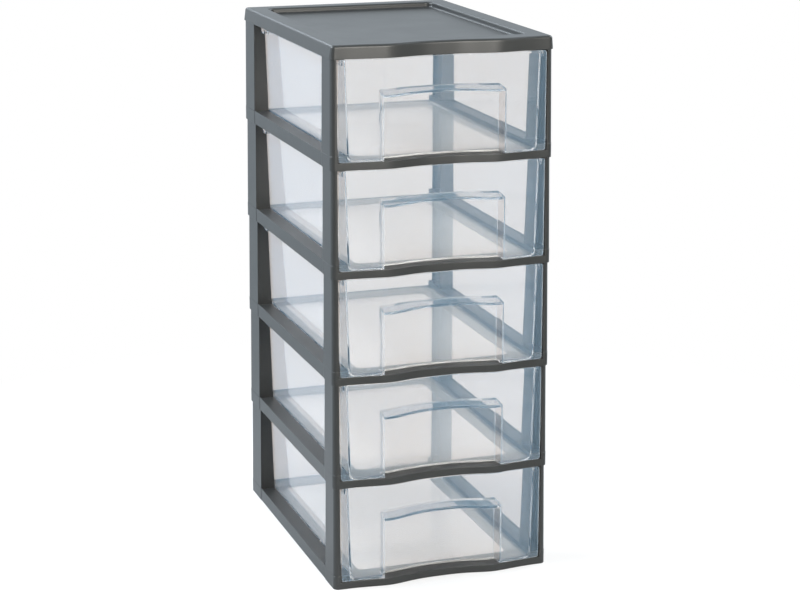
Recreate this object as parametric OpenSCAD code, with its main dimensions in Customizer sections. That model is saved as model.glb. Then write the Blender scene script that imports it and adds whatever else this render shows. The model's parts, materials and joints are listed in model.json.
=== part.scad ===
// Stacking drawer tower: open-sided frames pushed together, a tray lid on top,
// and one clear sliding drawer in each frame.
// Origin: middle of the footprint, on the floor. +Z up, the drawers open towards -Y.

/* [Tower] */
// Number of frames, each with its drawer
levels = 5; // [1:1:8]
// Height of one frame, from its foot to the foot of the next
level_h = 130; // [110:1:200]
// Width over the frame's feet
tower_w = 278; // [230:1:400]
// Depth from the front crests to the back face
tower_d = 390; // [320:1:500]
// Radius of the upright outer corners
corner_r = 6.5; // [4:0.5:10]

/* [Wavy front] */
// How far the two crests stand in front of the corners
crest_out = 5; // [1:0.5:8]
// How far the middle lies behind the corners
hollow_in = 3; // [0:0.5:5]
// Distance of each crest from the middle
crest_x = 70; // [55:1:80]
// Flat stretch of the front beside each corner
front_flat = 11; // [10:1:14]

/* [Frame] */
// Wall of the dark mouldings
frame_wall = 2.2; // [1.8:0.1:3]
// Height of the front and back rails, where the drawer slides
ledge_h = 9.2; // [8:0.1:11]
// Height of the side rails
side_rail_h = 17; // [15:0.5:22]
// Width of the side rails
side_rail_w = 19.6; // [18:0.2:24]
// Thin lip that stands along the outer top edge of a side rail
lip_h = 1.2; // [0.6:0.1:2]
// How far a side rail's face is set back between its posts
rail_set = 0.4; // [0.2:0.1:0.8]
// Width of the ledge inside the side rails
side_ledge_w = 21; // [12:1:30]
// Width of the front ledge, from the corners back
front_ledge_w = 31; // [28:1:40]
// Width of the back ledge
back_ledge_w = 34; // [20:1:45]
// Corner radius of the opening in the ring
ring_hole_r = 8; // [3:1:14]
// Depth of a front post, seen from the side
front_post_d = 38.5; // [30:0.5:50]
// Width of a front post, seen from the front
front_post_w = 8.2; // [7:0.1:10]
// Depth of a back post, seen from the side
back_post_d = 48; // [30:0.5:60]
// Width of a back post, seen from behind
back_post_w = 14; // [10:0.5:17]
// How far a post is set back from the rail's edge at its foot
post_set = 0.2; // [0.1:0.05:0.25]
// How far a post's top leans inwards
post_lean = 1.2; // [0.6:0.1:1.5]

/* [Pegs] */
// Height of the pegs that go up into the moulding above
peg_h = 6; // [4:0.5:6.5]
// How far a peg reaches down inside its post
peg_root = 12; // [8:1:20]
// Length of a peg along the side
peg_l = 26; // [12:1:28]
// Clearance between a peg and the wall around it
peg_gap = 0.3; // [0.2:0.05:0.5]

/* [Lid] */
// Height of the lid
lid_h = 16.4; // [14:0.1:24]
// How far the lid's sides and back lean inwards
lid_lean = 1.5; // [0.6:0.1:1.6]
// Radius along the lid's top edge
lid_edge_r = 3.5; // [3.2:0.1:6]
// Width of the raised rim around the tray
lid_rim_w = 26; // [18:1:40]
// Depth of the tray
tray_depth = 7.5; // [3:0.5:7.5]
// Corner radius of the tray
tray_r = 9; // [4:0.5:14]

/* [Drawer] */
// Wall of a drawer's body
drawer_wall = 1.8; // [1.4:0.1:2.2]
// Thickness of a drawer's front panel
panel_t = 2.2; // [1.8:0.1:3]
// Running gap between a drawer and the ledge that it slides on
slide_gap = 0.3; // [0.2:0.05:0.5]
// Gap between a drawer and the side rails and posts beside it
side_gap = 0.9; // [0.6:0.1:1.2]
// Gap between a drawer's top and the moulding above
top_gap = 0.7; // [0.4:0.1:1.2]
// Gap between the front panel and the front posts
panel_gap = 1.6; // [1:0.1:2]
// Corner radius of the front panel
panel_r = 3; // [1.5:0.5:5]
// How much wider the body is at its top, on each side
drawer_draft = 3.6; // [2:0.1:4]
// Radius of the body's upright back corners
body_r = 26; // [10:1:30]
// Radius between the body's floor and its walls
floor_r = 7; // [4:0.5:10]
// Distance from the drawer's back to the tower's back
back_gap = 7; // [6:0.5:20]
// Width of the rim round the drawer's top
rim_w = 3.4; // [3:0.1:4]
// Thickness of that rim
rim_t = 1.6; // [1.2:0.1:2.4]
// Height of the lip that turns down along the rim's outer edge
rim_h = 6.8; // [4:0.1:9]
// How far a stop ear stands out past the rim
ear_out = 3; // [2:0.1:4.5]
// Length of a stop ear
ear_l = 14; // [5:0.5:18]
// Height of a stop ear
ear_h = 10.8; // [10:0.1:16]

/* [Grip recess] */
// Width of the recess at the front
grip_w = 151; // [90:1:170]
// Height of the recess, from the ledge to the panel's lower edge
grip_h = 75.8; // [40:0.1:90]
// Depth of the recess
grip_d = 16.5; // [14:0.5:24]
// How much narrower the recess is at its back, on each side
grip_draft = 2; // [0.5:0.1:4]
// How much higher the recess is at its back, so that fingers hook behind the panel
grip_rise = 4.8; // [2:0.1:9]
// Radius of the recess's upper corners
grip_r = 7; // [3:0.5:12]

/* [Hidden] */
$fn = 64;

dark = [0.36, 0.38, 0.39];
clear_plastic = [0.84, 0.87, 0.90, 0.5];
eps = 0.01;                 // overlap that joins two cuts
far = 2 * (tower_w + tower_d);

// Upright planes of the tower
side_x = tower_w / 2;
back_y = tower_d / 2;
front_y = crest_out - tower_d / 2;          // the corners of the wavy front
wave_end_x = side_x - front_flat;           // where the wave has run out
wave_step = 4;                              // distance between points along the wave
hollow_ease = 1.5;                          // rounds the middle more than the crests
shoulder_ease = 0.75;                       // lets the crests run out slowly to the corners

// Levels of one frame
top_plate_z = side_rail_h - lip_h;
rail_inner_x = side_x - side_rail_w;
ring_hole_x = rail_inner_x - side_ledge_w;
front_post_back_y = front_y + front_post_d;
back_post_front_y = back_y - back_post_d;
lean = atan(post_lean / (level_h - side_rail_h));

// Levels and planes of one drawer, measured from its frame's foot
drawer_z0 = ledge_h + slide_gap;
panel_seat_y = front_y + slide_gap + panel_t + side_gap;
drawer_z1 = level_h - top_gap;
body_x0 = rail_inner_x - side_gap;          // half width at the floor
body_x1 = body_x0 + drawer_draft;           // half width at the top
body_back_y = back_y - back_gap;
rim_x = body_x1 + rim_w;
ear_x = rim_x + ear_out;
ear_y1 = back_post_front_y - slide_gap;     // the ear rests against the back post when closed
ear_y0 = ear_y1 - ear_l;
panel_x = side_x - front_post_w - panel_gap;
notch_h = rim_h + 2 * side_gap;             // height of the notch that lets the rim pass a post
grip_top = ledge_h + grip_h;
floor_steps = 4;                            // straight steps in the round edge to the floor
body_facets = 32;                           // straight steps in a full turn of the back corners

// Levels of the lid, measured from its foot
tray_z = lid_h - tray_depth;
lid_edge_z = lid_h - lid_edge_r;            // where the round top edge starts
peg_room_h = peg_h + 2 * peg_gap;           // the skirt is upright inside as far as the pegs reach

// How far the front stands forward of its corners at a distance x from the middle
function wave(x) =
    let (a = abs(x))
    a < crest_x
        ? -hollow_in + (crest_out + hollow_in) * (1 - cos(180 * pow(a / crest_x, hollow_ease))) / 2
        : a < wave_end_x
            ? crest_out * (1 + cos(180 * pow((a - crest_x) / (wave_end_x - crest_x), shoulder_ease))) / 2
            : 0;

// Points along the wave from x = -half to x = half, set back by a distance
function wave_points(half, back) =
    let (n = ceil(half / wave_step))
    [for (i = [-n:n]) [half * i / n, front_y - wave(half * i / n) + back]];

// Everything behind the wavy front, set back by a distance
module behind_front(back) {
    polygon(concat(
        [[-far, front_y + back]],
        wave_points(wave_end_x, back),
        [[far, front_y + back], [far, far], [-far, far]]
    ));
}

// Rectangle with round corners between two corners
module round_rect(x0, y0, x1, y1, r) {
    translate([x0 + r, y0]) square([x1 - x0 - 2 * r, y1 - y0]);
    translate([x0, y0 + r]) square([x1 - x0, y1 - y0 - 2 * r]);
    for (x = [x0 + r, x1 - r], y = [y0 + r, y1 - r]) translate([x, y]) circle(r);
}

// Footprint of the dark mouldings, set in from the outside by a distance
module footprint(inset) {
    intersection() {
        union() {
            round_rect(inset - side_x, front_y + inset, side_x - inset, back_y - inset, corner_r - inset);
            translate([-wave_end_x, front_y - crest_out])
                square([2 * wave_end_x, 2 * crest_out + corner_r]);
        }
        behind_front(inset);
    }
}

// A wall that follows the footprint's edge
module skirt(z0, z1) {
    translate([0, 0, z0]) linear_extrude(z1 - z0) difference() {
        footprint(0);
        footprint(frame_wall);
    }
}

// ---- Frame ----

// Flat ledge that closes the ring between the side rails, open in the middle
module ledge() {
    half = rail_inner_x + frame_wall;
    translate([0, 0, ledge_h - frame_wall]) linear_extrude(frame_wall) difference() {
        intersection() {
            footprint(frame_wall / 2);
            translate([-half, -far / 2]) square([2 * half, far]);
        }
        round_rect(-ring_hole_x, front_y + front_ledge_w, ring_hole_x, back_y - back_ledge_w, ring_hole_r);
    }
}

// Higher box rail along one side, with a thin lip on its outer edge
module side_rail(side) {
    difference() {
        intersection() {
            linear_extrude(side_rail_h) footprint(0);
            translate([side > 0 ? rail_inner_x : -side_x, front_y, ledge_h - frame_wall])
                cube([side_rail_w, tower_d - crest_out, side_rail_h]);
        }
        // hollow from below
        hollow_y0 = panel_seat_y + frame_wall;
        translate([side > 0 ? rail_inner_x + frame_wall : frame_wall - side_x, hollow_y0, -eps])
            cube([side_rail_w - 2 * frame_wall, back_y - frame_wall - hollow_y0, top_plate_z - frame_wall]);
        // the top lies a little below the lip
        plate_x0 = side > 0 ? rail_inner_x - frame_wall : frame_wall - side_x;
        translate([plate_x0, front_post_back_y, top_plate_z])
            cube([side_rail_w, back_post_front_y - front_post_back_y, side_rail_h]);
    }
}

// Shallow set-back of the side face between the posts
module rail_face_cut(side) {
    translate([side > 0 ? side_x - rail_set : -side_x, front_post_back_y, -eps])
        cube([rail_set, back_post_front_y - front_post_back_y, side_rail_h + 2 * eps]);
}

// Room above the front rail for the drawer's front panel
module panel_room() {
    half = side_x - front_post_w;
    translate([-half, -far, ledge_h]) cube([2 * half, far + panel_seat_y, far]);
}

// Plate across a post, whose inner edge follows the drawer's drafted side.
// The notch at its top lets the drawer's rim pass.
module post_flange(y0) {
    gap_x0 = body_x0 + side_gap;
    gap_x1 = body_x1 + side_gap;
    notch_x = rim_x + side_gap;
    translate([0, y0 + frame_wall, 0]) rotate([90, 0, 0]) linear_extrude(frame_wall) polygon([
        [gap_x0, ledge_h - frame_wall],
        [gap_x0, ledge_h],
        [gap_x1, drawer_z1 - notch_h],
        [notch_x, drawer_z1 - notch_h],
        [notch_x, level_h],
        [side_x - post_lean - frame_wall / 2, level_h],
        [side_x - frame_wall / 2, ledge_h - frame_wall]
    ]);
}

// Outer wall of a post in plan: round outer corner at the origin's end, one leg along the
// side and one across
module post_walls(side_l, across_l) {
    difference() {
        union() {
            translate([0, corner_r]) square([frame_wall, side_l - corner_r]);
            translate([corner_r, 0]) square([across_l - corner_r, frame_wall]);
            intersection() {
                translate([corner_r, corner_r]) circle(corner_r);
                square(corner_r);
            }
        }
        translate([corner_r, corner_r]) circle(corner_r - frame_wall);
    }
}

// Post walls that lean inwards from the foot, between the rail and the next level
module leaning_walls(side_l, across_l) {
    intersection() {
        translate([post_set, post_set, 0]) rotate([-lean, lean, 0])
            translate([0, 0, -side_rail_h]) linear_extrude(2 * level_h) post_walls(side_l, across_l);
        cube([across_l, side_l, level_h - side_rail_h]);
    }
}

// Peg in plan, inside the outer corner of the moulding above
module peg_plan() {
    inset = frame_wall + peg_gap;
    r = corner_r - inset;
    difference() {
        union() {
            translate([inset, inset + r]) square([frame_wall, peg_l - r]);
            translate([inset + r, inset]) square([front_post_w - inset - r, frame_wall]);
            intersection() {
                translate([inset + r, inset + r]) circle(r);
                translate([inset, inset]) square(r);
            }
        }
        translate([inset + r, inset + r]) circle(r - frame_wall);
    }
}

module peg() {
    translate([0, 0, level_h - peg_root]) linear_extrude(peg_root + peg_h) peg_plan();
}

module front_post() {
    translate([-side_x, front_y, 0]) {
        translate([0, 0, side_rail_h]) leaning_walls(front_post_d, front_post_w);
        peg();
    }
    mirror([1, 0, 0]) post_flange(front_post_back_y - frame_wall);
}

module back_post() {
    translate([-side_x, back_y, 0]) mirror([0, 1, 0]) {
        translate([0, 0, side_rail_h]) leaning_walls(back_post_d, back_post_w);
        peg();
    }
    mirror([1, 0, 0]) post_flange(back_post_front_y);
}

module frame_shape() {
    difference() {
        union() {
            skirt(0, ledge_h);
            ledge();
            side_rail(-1);
            side_rail(1);
            for (side = [0, 1]) mirror([side, 0, 0]) {
                front_post();
                back_post();
            }
        }
        rail_face_cut(-1);
        rail_face_cut(1);
        panel_room();
    }
}

module frame(i) {
    color(dark) translate([0, 0, (levels - i) * level_h]) frame_shape();
}

// ---- Drawer ----

// Solid of the drawer's body: drafted sides, round back corners and a round edge to the floor
module body_solid(inset) {
    z0 = drawer_z0 + inset;
    rise = drawer_z1 - drawer_z0;
    hull() {
        for (i = [0:floor_steps]) {
            lift = floor_r * (1 - cos(90 * i / floor_steps));
            pull = floor_r * (1 - sin(90 * i / floor_steps));
            body_slab(z0 + lift, inset + pull, lift / rise);
        }
        body_slab(drawer_z1 + (inset > 0 ? eps : -eps), inset, 1);
    }
}

// One thin layer of the body, set in by a distance, at a share of the draft
module body_slab(z, inset, share) {
    x = body_x0 + drawer_draft * share - inset;
    translate([0, 0, z]) linear_extrude(eps) {
        round_rect(-x, front_y - crest_out, x, body_back_y - inset, body_r - inset, $fn = body_facets);
        translate([-x, front_y - crest_out]) square([2 * x, body_r]);
    }
}

// Wavy front panel with round corners
module front_panel() {
    intersection() {
        translate([0, 0, drawer_z0]) linear_extrude(drawer_z1 - drawer_z0) difference() {
            behind_front(slide_gap);
            behind_front(slide_gap + panel_t);
        }
        translate([0, far / 2, 0]) rotate([90, 0, 0]) linear_extrude(far)
            round_rect(-panel_x, drawer_z0, panel_x, drawer_z1, panel_r);
    }
}

// Recess block: plan outline between the front and the recess's back wall, grown by a distance
module grip_plan(grow) {
    front_half = grip_w / 2 + grow;
    back_half = front_half - grip_draft;
    back_y0 = front_y + slide_gap + grip_d + grow;
    n = ceil(back_half / wave_step);
    polygon(concat(
        [[-front_half, front_y - crest_out - 2 * eps]],
        [for (i = [-n:n]) [back_half * i / n, back_y0 - wave(back_half * i / n)]],
        [[front_half, front_y - crest_out - 2 * eps]]
    ));
}

// Recess seen from the front: upright sides and round upper corners, open at the bottom
module grip_outline(grow) {
    half = grip_w / 2 + grow;
    top = grip_top + grip_rise + grow;
    translate([-half, 0]) square([2 * half, top - grip_r]);
    translate([grip_r - half, 0]) square([2 * (half - grip_r), top]);
    for (x = [grip_r - half, half - grip_r]) translate([x, top - grip_r]) circle(grip_r);
}

// Recess seen from the side: the ceiling rises towards the back
module grip_side(grow) {
    y0 = front_y - crest_out - panel_t;
    y1 = front_y + hollow_in + grip_d + grow + panel_t;
    slope = grip_rise / grip_d;
    polygon([
        [y0, 0],
        [y1, 0],
        [y1, grip_top + grow + slope * (y1 - front_y)],
        [y0, grip_top + grow + slope * (y0 - front_y)]
    ]);
}

module grip_block(grow) {
    intersection() {
        linear_extrude(drawer_z1) grip_plan(grow);
        translate([0, far / 2, 0]) rotate([90, 0, 0]) linear_extrude(far) grip_outline(grow);
        translate([-far / 2, 0, 0]) rotate([90, 0, 90]) linear_extrude(far) grip_side(grow);
    }
}

// Plan of the rim round the top of the sides and the back, from a distance outside the body
// to a distance inside it
module rim_plan(outside, inside) {
    x0 = body_x1 - inside;
    x1 = body_x1 + outside;
    intersection() {
        difference() {
            union() {
                round_rect(-x1, front_y, x1, body_back_y + outside, body_r + outside);
                translate([-x1, front_y]) square([2 * x1, body_r + outside]);
            }
            union() {
                round_rect(-x0, front_y, x0, body_back_y - inside, body_r - inside);
                translate([-x0, front_y - crest_out]) square([2 * x0, body_r + crest_out]);
            }
        }
        behind_front(slide_gap + panel_t / 2);
    }
}

// The rim stands out at the top and turns down along its outer edge
module drawer_rim() {
    translate([0, 0, drawer_z1 - rim_t]) linear_extrude(rim_t) rim_plan(rim_w, drawer_wall);
    translate([0, 0, drawer_z1 - rim_h]) linear_extrude(rim_h) rim_plan(rim_w, rim_t - rim_w);
}

// Stop ears: closed, they rest against the back posts; open, against the front posts
module drawer_ears() {
    for (side = [0, 1]) mirror([side, 0, 0])
        translate([body_x1 - drawer_wall / 2, ear_y0, drawer_z1 - ear_h])
            cube([ear_x - body_x1 + drawer_wall / 2, ear_l, ear_h]);
}

module drawer_shape() {
    difference() {
        union() {
            intersection() {
                difference() {
                    body_solid(0);
                    body_solid(drawer_wall);
                }
                linear_extrude(level_h) behind_front(slide_gap + panel_t / 2);
            }
            front_panel();
            intersection() {
                grip_block(panel_t);
                translate([0, 0, drawer_z0]) linear_extrude(level_h) behind_front(slide_gap + panel_t / 2);
            }
            drawer_rim();
            drawer_ears();
        }
        grip_block(0);
    }
}

module drawer(i) {
    color(clear_plastic) translate([0, 0, (levels - i) * level_h]) drawer_shape();
}

// ---- Lid ----

module tray_plan(grow) {
    half = side_x - lid_rim_w + grow;
    round_rect(-half, front_y + lid_rim_w - grow, half, back_y - lid_rim_w + grow, tray_r + grow);
}

// Upright section between two outer planes: the sides lean in and end in a round top edge
module lid_section(x0, x1, inset) {
    polygon([
        [x0 + inset, -eps],
        [x1 - inset, -eps],
        [x1 - inset - lid_lean, lid_edge_z],
        [x0 + inset + lid_lean, lid_edge_z]
    ]);
    round_rect(x0 + inset + lid_lean, 0, x1 - inset - lid_lean, lid_h - inset, lid_edge_r - inset);
}

// The lid's outside, set in by a distance; the wavy front stays upright
module lid_block(inset) {
    intersection() {
        linear_extrude(lid_h) footprint(inset);
        translate([0, far / 2, 0]) rotate([90, 0, 0]) linear_extrude(far)
            lid_section(-side_x, side_x, inset);
        translate([-far / 2, 0, 0]) rotate([90, 0, 90]) linear_extrude(far)
            lid_section(-far, back_y, inset);
    }
}

module lid_shape() {
    difference() {
        lid_block(0);
        // hollow under the rim, upright as far as the pegs reach
        translate([0, 0, -eps]) linear_extrude(peg_room_h + eps) difference() {
            footprint(frame_wall);
            tray_plan(frame_wall);
        }
        difference() {
            lid_block(frame_wall);
            linear_extrude(lid_h) tray_plan(frame_wall);
        }
        // hollow under the tray
        translate([0, 0, -eps]) linear_extrude(tray_z - frame_wall + eps) tray_plan(frame_wall + eps);
        // the tray
        translate([0, 0, tray_z]) linear_extrude(lid_h) tray_plan(0);
    }
}

module top_lid() {
    color(dark) translate([0, 0, levels * level_h]) lid_shape();
}

top_lid();
for (i = [1:levels]) frame(i);
for (i = [1:levels]) drawer(i);
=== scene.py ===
import json
import math

import bmesh
import bpy
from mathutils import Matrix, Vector
from mathutils.bvhtree import BVHTree

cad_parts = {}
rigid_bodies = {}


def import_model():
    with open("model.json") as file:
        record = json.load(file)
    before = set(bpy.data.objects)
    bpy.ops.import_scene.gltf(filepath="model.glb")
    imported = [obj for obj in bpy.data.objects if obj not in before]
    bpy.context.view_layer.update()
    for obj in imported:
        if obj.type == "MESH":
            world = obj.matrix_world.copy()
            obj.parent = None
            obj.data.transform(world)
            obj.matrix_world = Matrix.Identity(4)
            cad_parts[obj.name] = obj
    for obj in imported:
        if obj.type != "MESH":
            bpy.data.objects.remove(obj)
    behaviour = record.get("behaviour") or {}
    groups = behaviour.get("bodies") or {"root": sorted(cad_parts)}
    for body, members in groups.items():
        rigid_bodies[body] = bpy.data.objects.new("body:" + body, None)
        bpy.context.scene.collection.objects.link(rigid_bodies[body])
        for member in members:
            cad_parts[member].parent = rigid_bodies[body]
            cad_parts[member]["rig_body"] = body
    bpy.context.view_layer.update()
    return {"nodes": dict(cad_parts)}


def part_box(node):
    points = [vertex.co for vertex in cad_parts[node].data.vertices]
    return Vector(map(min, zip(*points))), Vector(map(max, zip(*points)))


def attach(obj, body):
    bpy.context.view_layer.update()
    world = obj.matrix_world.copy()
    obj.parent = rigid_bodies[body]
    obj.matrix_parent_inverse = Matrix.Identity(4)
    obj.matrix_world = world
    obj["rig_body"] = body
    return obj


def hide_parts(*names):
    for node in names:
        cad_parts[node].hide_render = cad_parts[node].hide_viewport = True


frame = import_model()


# ---- Frames ----
# Five open-sided frames of dark grey polypropylene. Each comes out of its mould in one piece,
# with a fine matt grain and small round edges, and is pushed down onto the pegs of the next.

mm = 0.001
frame_nodes = sorted(name for name in frame["nodes"] if name.startswith("frame_"))
frame_edge_r = 0.5 * mm
frame_shortest = 0.35 * mm          # edges of the frame up to this length stay sharp
mould_grey = (0.034, 0.036, 0.036, 1)
worn_grey = (0.075, 0.077, 0.078, 1)
dark_clouds_per_m = 16
dark_contrast = 0.07
dark_roughness = (0.32, 0.42)
patches_per_m = 55
wear_amount = 0.6
wear_polish = 0.12                  # how much less rough a worn edge is
pits_per_m = 1500
pit_strength = 0.12
pit_depth = 0.15 * mm

same_place = 0.001 * mm             # points of a mesh that are closer than this are one
mended_place = 0.01 * mm            # the same, once stray points have been moved back
flat_turn = math.radians(0.5)       # faces that turn by less than this are one flat face
sharp_turn = math.radians(32)       # edges that turn by more than this are rounded
crease_turn = math.radians(38)      # edges that turn by more than this show as a crease
round_steps = 3
round_profile = 0.5                 # an arc of a circle
round_sag = 0.29                    # how far a rounding cuts in, as a share of its radius


def finished(shape, name, material):
    """A mesh of this shape in its material, with smooth shading up to its creases."""
    for face in shape.faces:
        face.smooth = True
    for e in shape.edges:
        e.smooth = e.calc_face_angle(0) < crease_turn
    mesh = bpy.data.meshes.new(name)
    shape.to_mesh(mesh)
    shape.free()
    mesh.materials.append(material)
    return mesh


def rounded_mesh(node, edge_r, shortest, name, material):
    """A copy of a solid's mesh, moved down to the floor, with its sharp edges rounded.

    Edges no longer than the shortest are left as they are."""
    shape = bmesh.new()
    shape.from_mesh(frame["nodes"][node].data)
    bmesh.ops.remove_doubles(shape, verts=shape.verts, dist=same_place)
    # A cut through the middle stays in, so that no flat face runs right round an opening.
    middle = bmesh.ops.bisect_plane(
        shape, geom=shape.verts[:] + shape.edges[:] + shape.faces[:], dist=same_place,
        plane_co=(0, 0, 0), plane_no=(1, 0, 0))
    for cut in middle["geom_cut"]:
        if isinstance(cut, bmesh.types.BMEdge):
            cut.seam = True
    bmesh.ops.dissolve_limit(
        shape, angle_limit=flat_turn, verts=shape.verts, edges=shape.edges, delimit={"SEAM"})
    solid = BVHTree.FromBMesh(shape)
    sharp = [e for e in shape.edges
             if e.calc_face_angle(0) > sharp_turn and e.calc_length() > shortest]
    bmesh.ops.bevel(
        shape, geom=sharp, offset=edge_r, offset_type="OFFSET", segments=round_steps,
        profile=round_profile, affect="EDGES", clamp_overlap=False, loop_slide=True)
    # Each point keeps how deep it lies in a rounding, for the wear and the painted highlight of the
    # edges.
    edge = shape.verts.layers.float.new("edge")
    on_solid, depth = {}, {}
    for vert in shape.verts:
        on_solid[vert], _, _, depth[vert] = solid.find_nearest(vert.co)
        vert[edge] = min(1, depth[vert] / (round_sag * edge_r))
    # Where a rounding is wider than its face, its stray points go back to the nearest good one.
    astray = {vert for vert in shape.verts if depth[vert] > edge_r / 2}
    for vert in astray:
        good = [e.other_vert(vert).co for e in vert.link_edges if e.other_vert(vert) not in astray]
        vert.co = min(good or [on_solid[vert]], key=lambda place: (place - vert.co).length).copy()
    bmesh.ops.remove_doubles(shape, verts=shape.verts, dist=mended_place)
    low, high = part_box(node)
    for vert in shape.verts:
        for axis in range(3):
            vert.co[axis] = min(max(vert.co[axis], low[axis]), high[axis])
    bmesh.ops.translate(shape, verts=shape.verts, vec=(0, 0, -low.z))
    return finished(shape, name, material)


def placed(mesh, name, node):
    """An object of this mesh that takes the place of a node, at its height and on its body."""
    piece = bpy.data.objects.new(name, mesh)
    bpy.context.scene.collection.objects.link(piece)
    piece.location.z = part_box(node)[0].z
    weights = piece.modifiers.new("flat faces stay flat", "WEIGHTED_NORMAL")
    weights.keep_sharp = True
    body = frame["nodes"][node]["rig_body"]
    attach(piece, body)
    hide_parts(node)
    return piece


def give(tree, value, socket):
    """Give a socket its value: a number or colour of its own, or another socket's."""
    if isinstance(value, bpy.types.NodeSocket):
        tree.links.new(value, socket)
    else:
        socket.default_value = value


def add_math(tree, operation, a, b):
    """A math node; a and b are sockets or numbers."""
    node = tree.nodes.new("ShaderNodeMath")
    node.operation = operation
    give(tree, a, node.inputs[0])
    give(tree, b, node.inputs[1])
    return node.outputs[0]


def ranged(tree, value, low, high):
    """A value from 0 to 1 as one from low to high."""
    return add_math(tree, "ADD", add_math(tree, "MULTIPLY", value, high - low), low)


def mixed_colour(tree, share, a, b):
    """A colour between a and b, which are sockets or colours."""
    node = tree.nodes.new("ShaderNodeMix")
    node.data_type = "RGBA"
    give(tree, share, node.inputs["Factor"])
    give(tree, a, node.inputs["A"])
    give(tree, b, node.inputs["B"])
    return node.outputs["Result"]


def own_place(tree):
    """The place of a point in its own piece, in metres."""
    return tree.nodes.new("ShaderNodeTexCoord").outputs["Object"]


def on_edges(tree):
    """How deep a point lies in a rounding, as rounded_mesh leaves it; 0 on flat faces."""
    node = tree.nodes.new("ShaderNodeAttribute")
    node.attribute_name = "edge"
    return node.outputs["Fac"]


def add_noise(tree, per_metre, detail, roughness):
    """Noise over a piece; a socket or a number says how many spots fit in a metre."""
    node = tree.nodes.new("ShaderNodeTexNoise")
    give(tree, own_place(tree), node.inputs["Vector"])
    give(tree, per_metre, node.inputs["Scale"])
    give(tree, detail, node.inputs["Detail"])
    give(tree, roughness, node.inputs["Roughness"])
    return node.outputs["Fac"]


def new_group(name, inputs, output):
    """An empty shader node group with numbers in and one number out, and its two end nodes."""
    group = bpy.data.node_groups.new(name, "ShaderNodeTree")
    for label in inputs:
        group.interface.new_socket(label, in_out="INPUT", socket_type="NodeSocketFloat")
    group.interface.new_socket(output, in_out="OUTPUT", socket_type="NodeSocketFloat")
    return group, group.nodes.new("NodeGroupInput"), group.nodes.new("NodeGroupOutput")


def place_group(tree, group, output, values):
    """What a group puts out in a material, with the values that the material gives it."""
    node = tree.nodes.new("ShaderNodeGroup")
    node.node_tree = group
    for label, value in values.items():
        node.inputs[label].default_value = value
    return node.outputs[output]


def new_material(name):
    """A material, its node tree and its Principled BSDF."""
    material = bpy.data.materials.new(name)
    material.use_nodes = True
    return material, material.node_tree, material.node_tree.nodes["Principled BSDF"]


# Mould clouds: plastic cools unevenly, so its colour and gloss change slowly over a piece.
cloud_detail = 4
cloud_roughness = 0.55
clouds, clouds_in, clouds_out = new_group("mould clouds", ["Clouds per metre"], "Clouds")
clouds.links.new(
    add_noise(clouds, clouds_in.outputs["Clouds per metre"], cloud_detail, cloud_roughness),
    clouds_out.inputs["Clouds"])

# Edge wear: round edges that hands and cloths have polished a little, in patches.
patch_detail = 2
patch_roughness = 0.5
wear, wear_in, wear_out = new_group("edge wear", ["Amount", "Patches per metre"], "Mask")
patches = add_noise(wear, wear_in.outputs["Patches per metre"], patch_detail, patch_roughness)
wear.links.new(
    add_math(wear, "MULTIPLY", wear_in.outputs["Amount"],
             add_math(wear, "MULTIPLY", on_edges(wear), patches)),
    wear_out.inputs["Mask"])


def clouded(tree, cloudy, colour, contrast):
    """A colour that is lighter and darker in places by this contrast."""
    darker = tuple((1 - contrast) * c for c in colour[:3]) + (1,)
    lighter = tuple((1 + contrast) * c for c in colour[:3]) + (1,)
    return mixed_colour(tree, cloudy, darker, lighter)


dark_plastic, tree, shader = new_material("dark grey polypropylene")
cloudy = place_group(tree, clouds, "Clouds", {"Clouds per metre": dark_clouds_per_m})
worn = place_group(
    tree, wear, "Mask", {"Amount": wear_amount, "Patches per metre": patches_per_m})
tree.links.new(
    mixed_colour(tree, worn, clouded(tree, cloudy, mould_grey, dark_contrast), worn_grey),
    shader.inputs["Base Color"])
tree.links.new(
    add_math(tree, "SUBTRACT", ranged(tree, cloudy, *dark_roughness),
             add_math(tree, "MULTIPLY", worn, wear_polish)),
    shader.inputs["Roughness"])
# The mould is spark-eroded, which leaves fine pits in the surface.
pit_detail = 3
pit_roughness = 0.6
bump = tree.nodes.new("ShaderNodeBump")
bump.inputs["Strength"].default_value = pit_strength
bump.inputs["Distance"].default_value = pit_depth
tree.links.new(add_noise(tree, pits_per_m, pit_detail, pit_roughness), bump.inputs["Height"])
tree.links.new(bump.outputs["Normal"], shader.inputs["Normal"])

frame_mesh = rounded_mesh(
    frame_nodes[-1], frame_edge_r, frame_shortest, "frame moulding", dark_plastic)
for node in frame_nodes:
    piece = placed(frame_mesh, node.replace("frame", "frame_moulding"), node)


# ---- Drawers ----
# Five drawers of clear, slightly milky polypropylene. The front, the finger recess, the tub and
# the rim are one moulding with walls of about 2 mm, and slide on the frame's ledges.

drawer_nodes = sorted(name for name in frame["nodes"] if name.startswith("drawer_"))
drawer_edge_r = 0.5 * mm
drawer_shortest = 0.01 * mm         # edges of the drawer up to this length stay sharp
clear_warm = (0.965, 0.912, 0.872, 1)
clear_clouds_per_m = 7
clear_contrast = 0.02
clear_roughness = 0.05
clear_ior = 1.2                     # less than a thick block's 1.49, as thin walls bend light little
milk_blue = (0.34, 0.54, 0.74, 1)
milk_share = (0.08, 0.12)
milk_roughness = 0.9
# Painted light: the drawer's floor and round edges are painted whiter where light falls on them.
painted_light_white = (0.93, 0.93, 0.91, 1)
painted_floor_light_share = 0.11
painted_edge_highlight_share = 0.45
painted_floor_light_up_to = 2.3 * mm            # height of the floor above the drawer's foot
painted_floor_light_from_y = -184 * mm          # the front panel stays clear
straight_through = (0.95, 0.95, 0.95, 1)
last_bending = 5                    # the faces 0 to 5 that a ray meets bend it, so three walls


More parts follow.
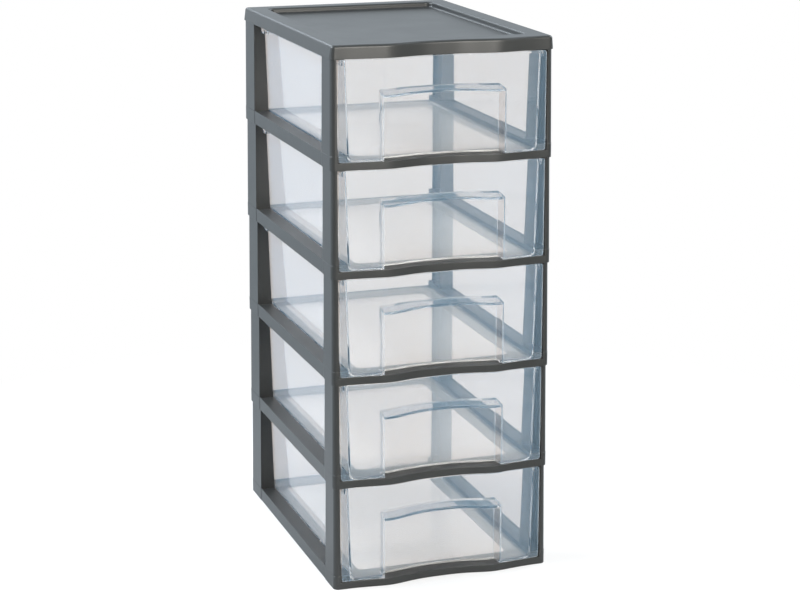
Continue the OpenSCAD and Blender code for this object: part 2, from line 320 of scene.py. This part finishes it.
def mixed_shader(tree, share, a, b):
    """A mix of the shaders a and b; share is a socket."""
    node = tree.nodes.new("ShaderNodeMixShader")
    tree.links.new(share, node.inputs["Fac"])
    tree.links.new(a, node.inputs[1])
    tree.links.new(b, node.inputs[2])
    return node.outputs[0]


clear_plastic, tree, shader = new_material("clear milky polypropylene")
cloudy = place_group(tree, clouds, "Clouds", {"Clouds per metre": clear_clouds_per_m})
tree.links.new(clouded(tree, cloudy, clear_warm, clear_contrast), shader.inputs["Base Color"])
shader.inputs["Roughness"].default_value = clear_roughness
shader.inputs["IOR"].default_value = clear_ior
shader.inputs["Transmission Weight"].default_value = 1
# A trace of milk in the plastic scatters bluish light, which shows best in front of dark parts.
milk = tree.nodes.new("ShaderNodeBsdfPrincipled")
milk.inputs["Roughness"].default_value = milk_roughness
milk.inputs["Specular IOR Level"].default_value = 0
# The floor is painted whiter, a painted lightening that stands in for the light it reflects from
# above.
place = tree.nodes.new("ShaderNodeSeparateXYZ")
tree.links.new(own_place(tree), place.inputs[0])
painted_floor_light = add_math(tree, "MULTIPLY",
                 add_math(tree, "LESS_THAN", place.outputs["Z"], painted_floor_light_up_to),
                 add_math(tree, "GREATER_THAN", place.outputs["Y"], painted_floor_light_from_y))
# Round edges are painted whitish too, a painted highlight where they catch the light.
rounding = on_edges(tree)
tree.links.new(
    mixed_colour(tree, add_math(tree, "MAXIMUM", painted_floor_light, rounding), milk_blue, painted_light_white),
    milk.inputs["Base Color"])
# The painted light on the floor and edges also makes the milk thicker there.
painted_light_whitening = add_math(tree, "ADD", add_math(tree, "MULTIPLY", painted_floor_light, painted_floor_light_share),
                    add_math(tree, "MULTIPLY", rounding, painted_edge_highlight_share))
milk_clouds = add_noise(tree, clear_clouds_per_m, cloud_detail, cloud_roughness)
milkiness = add_math(tree, "ADD", ranged(tree, milk_clouds, *milk_share), painted_light_whitening)
looks = mixed_shader(tree, milkiness, shader.outputs[0], milk.outputs[0])
# Lamps and bounced light shine straight through the walls, almost undimmed, and so does what
# the eye sees behind the third wall.
let_through = tree.nodes.new("ShaderNodeBsdfTransparent")
let_through.inputs["Color"].default_value = straight_through
ray = tree.nodes.new("ShaderNodeLightPath")
far_behind = add_math(tree, "GREATER_THAN", ray.outputs["Ray Depth"], last_bending)
for let_go in (far_behind, ray.outputs["Is Diffuse Ray"], ray.outputs["Is Shadow Ray"]):
    looks = mixed_shader(tree, let_go, looks, let_through.outputs[0])
tree.links.new(looks, tree.nodes["Material Output"].inputs["Surface"])

drawer_mesh = rounded_mesh(
    drawer_nodes[-1], drawer_edge_r, drawer_shortest, "drawer moulding", clear_plastic)
for node in drawer_nodes:
    piece = placed(drawer_mesh, node.replace("drawer", "drawer_moulding"), node)


# ---- Lid ----
# The lid is a dark moulding like the frames, pushed onto the top frame's pegs. Its top is a
# shallow tray with a broad rim, and its sides lean in a little to a round top edge.

lid_low, lid_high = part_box("top_lid")
lid_h = lid_high.z - lid_low.z
lid_wall = 2.2 * mm
lid_lean = 1.5 * mm
lid_edge_r = 3.5 * mm
lid_rim_w = 26 * mm
tray_depth = 7.5 * mm
tray_r = 9 * mm
tray_edge_r = 2.8 * mm
corner_r = 6.5 * mm
smallest_corner_r = 1 * mm
inside_bevel = 1 * mm
peg_room_h = 6.6 * mm
crest_out = 5 * mm                  # how far the front's two crests stand forward
crest_x = 70 * mm
hollow_in = 3 * mm                  # how far its middle lies back behind the corners
hollow_ease = 1.5                   # rounds the middle more than the crests
shoulder_ease = 0.75                # lets the crests run out slowly to the corners
front_flat = 11 * mm
side_x, back_y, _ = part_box("frame_1")[1]      # the lid is as wide and as deep as a frame
front_y = crest_out - back_y
wave_end_x = side_x - front_flat
front_steps = 96
corner_steps = 8
edge_steps = 6


def wave(x):
    """How far the front stands forward of its corners, at a distance from the middle."""
    a = abs(x)
    if a < crest_x:
        turn = math.pi * (a / crest_x) ** hollow_ease
        return -hollow_in + (crest_out + hollow_in) * (1 - math.cos(turn)) / 2
    if a < wave_end_x:
        turn = math.pi * ((a - crest_x) / (wave_end_x - crest_x)) ** shoulder_ease
        return crest_out * (1 + math.cos(turn)) / 2
    return 0


def outline(half, front, back, r, wavy):
    """A plan outline with round corners, always with the same number of points."""
    points = []
    for i in range(front_steps + 1):
        x = (half - r) * (2 * i / front_steps - 1)
        points.append((x, front - (wave(x) if wavy else 0)))
    corners = [(half - r, front + r, -90), (half - r, back - r, 0),
               (r - half, back - r, 90), (r - half, front + r, 180)]
    arcs = [(cx, cy, start + 90 * i / corner_steps)
            for cx, cy, start in corners for i in range(corner_steps + 1)]
    for cx, cy, degrees in arcs[1:-1]:      # the front's two ends are there already
        a = math.radians(degrees)
        points.append((cx + r * math.cos(a), cy + r * math.sin(a)))
    return points


def lid_ring(z, side_in, front_in):
    """The lid's outside at a height, set in at the sides and back, and at the front."""
    r = max(corner_r - side_in, smallest_corner_r)
    plan = outline(side_x - side_in, front_y + front_in, back_y - side_in, r, True)
    return [(x, y, z) for x, y in plan]


def tray_ring(z, grow):
    """The tray's outline at a height."""
    inset = lid_rim_w - grow
    plan = outline(side_x - inset, front_y + inset, back_y - inset, tray_r + grow, False)
    return [(x, y, z) for x, y in plan]


def loft(rings, name, material):
    """A closed mesh through rings of equal length, with a flat face on the first and last."""
    shape = bmesh.new()
    loops = [[shape.verts.new(p) for p in ring] for ring in rings]
    count = len(loops[0])
    for a, b in zip(loops, loops[1:]):
        for i in range(count):
            j = (i + 1) % count
            shape.faces.new((a[i], a[j], b[j], b[i]))
    shape.faces.new(loops[0][::-1])
    shape.faces.new(loops[-1])
    bmesh.ops.remove_doubles(shape, verts=shape.verts, dist=same_place)
    bmesh.ops.recalc_face_normals(shape, faces=shape.faces)
    return finished(shape, name, material)


# A rounding turns from one face to the next. At each step it has left the first face by one
# share of its radius, and another share is still to go to the second.
steps = [math.radians(90 * i / edge_steps) for i in range(edge_steps + 1)]
turning = [(1 - math.cos(a), 1 - math.sin(a)) for a in steps]
tray_z = lid_h - tray_depth
rings = [tray_ring(tray_z, -tray_edge_r)]
rings += [tray_ring(tray_z + tray_edge_r * left, -tray_edge_r * to_go) for left, to_go in turning]
rings += [tray_ring(lid_h - tray_edge_r * to_go, tray_edge_r * left) for left, to_go in turning]
rings += [lid_ring(lid_h - lid_edge_r * left, lid_lean + lid_edge_r * to_go, lid_edge_r * to_go)
          for left, to_go in turning]
# The foot of the skirt, the hollow inside it and the underside of the tray.
rings += [
    lid_ring(frame_edge_r, 0, 0),
    lid_ring(0, frame_edge_r, frame_edge_r),
    lid_ring(0, lid_wall, lid_wall),
    lid_ring(peg_room_h, lid_wall, lid_wall),
    lid_ring(lid_h - lid_edge_r, lid_lean + lid_wall, lid_wall),
    lid_ring(lid_h - lid_wall, lid_edge_r + lid_lean + inside_bevel, lid_edge_r + inside_bevel),
    tray_ring(lid_h - lid_wall, lid_wall + inside_bevel),
    tray_ring(lid_h - lid_wall - inside_bevel, lid_wall),
    tray_ring(tray_z - lid_wall, lid_wall)]
lid_mesh = loft(rings, "lid moulding", dark_plastic)
lid_piece = placed(lid_mesh, "lid_moulding", "top_lid")


# ---- Studio ----
# The tower stands on a pale floor in a white room. Soft lamps light it: broad cool ones from the
# left, the right and behind, a weak one overhead, and two warm ones in front.

half_floor = 8                      # in metres, as all places in the studio
floor_grey = (0.8, 0.8, 0.8, 1)
floor_roughness = 0.9
white = (1, 1, 1, 1)
shadow_reach = (0.25, 0.9)          # the shadow fades out between these distances
shadow_depth = 0.4
painted_shadow_under_reach = (0.12, 0.3)           # the same for the painted shadow under the tower, seen through the lowest drawer
painted_shadow_under_depth = 0.26
room_fade = 0.35                    # how soon the room gets dark towards the front
room_dark = 0.85                    # how dark it gets
room_warm = (1, 0.99, 0.96, 1)
room_strength = 0.24
sky_cool = (0.79, 0.87, 0.94, 1)
floor_cool = (0.66, 0.75, 0.82, 1)

floor_mesh = bpy.data.meshes.new("floor")
floor_mesh.from_pydata(
    [(-half_floor, -half_floor, 0), (half_floor, -half_floor, 0),
     (half_floor, half_floor, 0), (-half_floor, half_floor, 0)], [], [(0, 1, 2, 3)])
floor = bpy.data.objects.new("floor", floor_mesh)
bpy.context.scene.collection.objects.link(floor)


def seen_rays(tree):
    """1 for what the camera sees, straight, in a gloss or through clear parts; otherwise 0."""
    ray = tree.nodes.new("ShaderNodeLightPath")
    bent = add_math(tree, "MAXIMUM", ray.outputs["Is Glossy Ray"], ray.outputs["Is Transmission Ray"])
    return add_math(tree, "MAXIMUM", ray.outputs["Is Camera Ray"], bent)


def mirrored(tree):
    """1 for what shows as a reflection on an outer face; otherwise 0."""
    ray = tree.nodes.new("ShaderNodeLightPath")
    glossy = add_math(tree, "MINIMUM", ray.outputs["Glossy Depth"], 1)
    outside = add_math(tree, "LESS_THAN", ray.outputs["Transmission Depth"], 1)
    return add_math(tree, "MULTIPLY", glossy, outside)


def faded(tree, value, start, end, first, last):
    """A value that goes from first to last while the given one goes from start to end."""
    node = tree.nodes.new("ShaderNodeMapRange")
    ends = {"Value": value, "From Min": start, "From Max": end, "To Min": first, "To Max": last}
    for label, given in ends.items():
        give(tree, given, node.inputs[label])
    return node.outputs["Result"]


def dimmed_in_front(tree, coordinates):
    """The brightness of the surroundings: in a gloss, the room in front of the tower is dark."""
    towards = tree.nodes.new("ShaderNodeSeparateXYZ")
    tree.links.new(tree.nodes.new("ShaderNodeTexCoord").outputs[coordinates], towards.inputs[0])
    dark = faded(tree, towards.outputs["Y"], 0, -room_fade, 0, room_dark)
    return add_math(tree, "SUBTRACT", 1, add_math(tree, "MULTIPLY", dark, mirrored(tree)))


# Seen by the camera, the floor is white with the tower's shadow near it; as a source of
# bounced light it is a plain pale floor.
floor_paint, tree, plain = new_material("pale floor")
floor_mesh.materials.append(floor_paint)
plain.inputs["Base Color"].default_value = floor_grey
plain.inputs["Roughness"].default_value = floor_roughness
plain.inputs["Specular IOR Level"].default_value = 0
distance = tree.nodes.new("ShaderNodeVectorMath")
distance.operation = "LENGTH"
tree.links.new(own_place(tree), distance.inputs[0])
near = faded(tree, distance.outputs["Value"], *shadow_reach, 1, 0)
# Seen through the lowest drawer, the floor under the tower gets a painted shadow instead: its glow is
# a little darker there.
through = tree.nodes.new("ShaderNodeLightPath").outputs["Is Transmission Ray"]
painted_under_shadow = faded(tree, distance.outputs["Value"], *painted_shadow_under_reach, painted_shadow_under_depth, 0)
glow_left_by_painted_shadow = add_math(tree, "SUBTRACT", 1, add_math(tree, "MULTIPLY", painted_under_shadow, through))
kept = add_math(tree, "MULTIPLY", add_math(tree, "MULTIPLY", near, shadow_depth),
                add_math(tree, "SUBTRACT", 1, through))
glow = tree.nodes.new("ShaderNodeEmission")
tree.links.new(mixed_colour(tree, mirrored(tree), white, floor_cool), glow.inputs["Color"])
tree.links.new(
    add_math(tree, "MULTIPLY", add_math(tree, "SUBTRACT", glow_left_by_painted_shadow, kept), dimmed_in_front(tree, "Object")),
    glow.inputs["Strength"])
matt = tree.nodes.new("ShaderNodeBsdfDiffuse")
grey = tree.nodes.new("ShaderNodeCombineColor")
for channel in ("Red", "Green", "Blue"):
    tree.links.new(kept, grey.inputs[channel])
tree.links.new(grey.outputs["Color"], matt.inputs["Color"])
both = tree.nodes.new("ShaderNodeAddShader")
tree.links.new(glow.outputs[0], both.inputs[0])
tree.links.new(matt.outputs[0], both.inputs[1])
looks = mixed_shader(tree, seen_rays(tree), plain.outputs[0], both.outputs[0])
tree.links.new(looks, tree.nodes["Material Output"].inputs["Surface"])

# The room is white to the eye, also in a gloss or through clear parts; its own light is weak
# and warm.
world = bpy.data.worlds.new("studio")
bpy.context.scene.world = world
world.use_nodes = True
tree = world.node_tree
plain = tree.nodes["Background"]
plain.inputs["Color"].default_value = room_warm
plain.inputs["Strength"].default_value = room_strength
sky = tree.nodes.new("ShaderNodeBackground")
tree.links.new(mixed_colour(tree, mirrored(tree), white, sky_cool), sky.inputs["Color"])
tree.links.new(dimmed_in_front(tree, "Generated"), sky.inputs["Strength"])
looks = mixed_shader(tree, seen_rays(tree), plain.outputs[0], sky.outputs[0])
tree.links.new(looks, tree.nodes["World Output"].inputs["Surface"])

tower_middle = Vector((0, 0, lid_high.z / 2))


def lamp(name, place, width, height, power, colour):
    """A soft rectangular lamp that points at the middle of the tower."""
    light = bpy.data.lights.new(name, "AREA")
    light.shape = "RECTANGLE"
    light.size = width
    light.size_y = height
    light.energy = power
    light.color = colour
    made = bpy.data.objects.new(name, light)
    bpy.context.scene.collection.objects.link(made)
    made.location = place
    made.rotation_euler = (tower_middle - made.location).to_track_quat("-Z", "Y").to_euler()
    made.visible_camera = False
    made.visible_transmission = False


cool = (0.88, 0.97, 1.06)
warm = (1.04, 1, 0.93)
lamp("left softbox", place=(-1.6, 0.3, 1.6), width=1.2, height=1.4, power=57, colour=cool)
lamp("right softbox", place=(2.2, 0.1, 1.9), width=1.6, height=2.0, power=52, colour=cool)
lamp("back softbox", place=(-0.7, 2.2, 2.2), width=1.2, height=1.2, power=24, colour=cool)
lamp("overhead softbox", place=(-0.4, -0.2, 2.8), width=1.8, height=1.8, power=1, colour=cool)
lamp("front softbox", place=(0.3, -2.2, 1.2), width=0.8, height=0.8, power=34, colour=warm)
lamp("lid softbox", place=(0.1, -2.2, 0.62), width=0.4, height=0.4, power=8, colour=warm)

sensor_width = 36
focal_length = 95.6
camera_place = (-0.8492, -2.5003, 1.0054)
degrees_down = 14.806
degrees_right = 18.981
camera_lens = bpy.data.cameras.new("camera")
camera_lens.sensor_width = sensor_width
camera_lens.lens = focal_length
camera_lens.clip_start = 0.1
camera_lens.clip_end = 50
camera = bpy.data.objects.new("camera", camera_lens)
bpy.context.scene.collection.objects.link(camera)
camera.location = camera_place
camera.rotation_euler = (math.radians(90 - degrees_down), 0, math.radians(-degrees_right))
bpy.context.scene.camera = camera
bpy.context.scene.view_settings.view_transform = "Standard"
